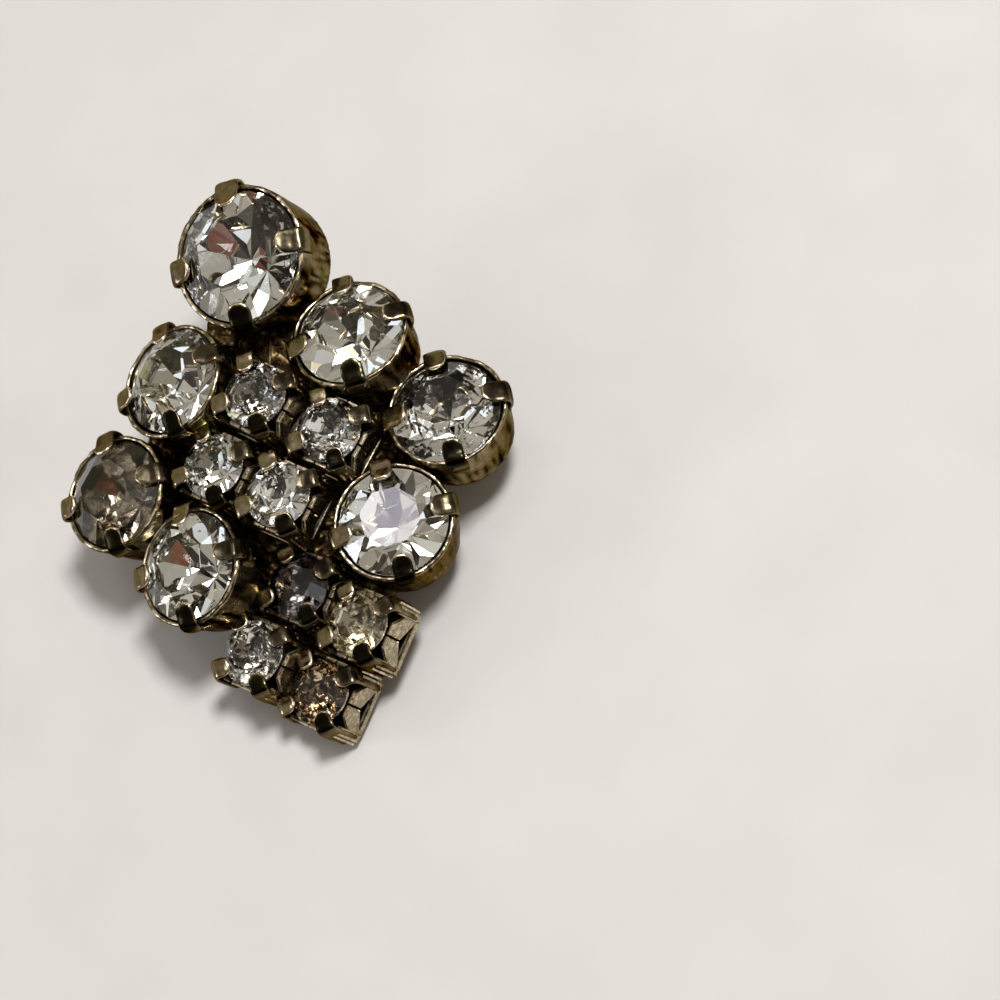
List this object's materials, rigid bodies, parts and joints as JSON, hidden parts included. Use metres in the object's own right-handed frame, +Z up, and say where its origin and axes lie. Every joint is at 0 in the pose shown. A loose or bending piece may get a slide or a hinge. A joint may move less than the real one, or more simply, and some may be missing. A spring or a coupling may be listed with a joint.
{
  "type": "clip on earring",
  "caption": "Clip on earring of cut glass stones in claw cups and small square settings, soldered edge to edge into a gently domed face with a short tail, and a paddle clip behind.",
  "frame": {"origin": "middle of the box round the earring as it lies face up, on the surface it lies on", "axes": "+Z up out of the surface, +Y toward the large stone at the head, +X to the right as one looks at the face"},
  "size_m": [0.03, 0.034, 0.0141],
  "materials": {
    "aged_plate": "worn silver plate with warm brown tarnish",
    "clip_plate": "plain stamped metal, lightly tarnished",
    "cut_glass": "clear cut glass with an aged mirror back"
  },
  "bodies": {
    "root": {"settings": "aged_plate", "ear_clip": "clip_plate", "stone_large": "cut_glass", "stone_medium_1": "cut_glass", "stone_medium_2": "cut_glass", "stone_medium_3": "cut_glass", "stone_medium_4": "cut_glass", "stone_medium_5": "cut_glass", "stone_medium_6": "cut_glass", "stone_small_1": "cut_glass", "stone_small_2": "cut_glass", "stone_small_3": "cut_glass", "stone_small_4": "cut_glass", "stone_small_5": "cut_glass", "stone_small_6": "cut_glass", "stone_small_7": "cut_glass", "stone_small_8": "cut_glass"}
  },
  "joints": []
}
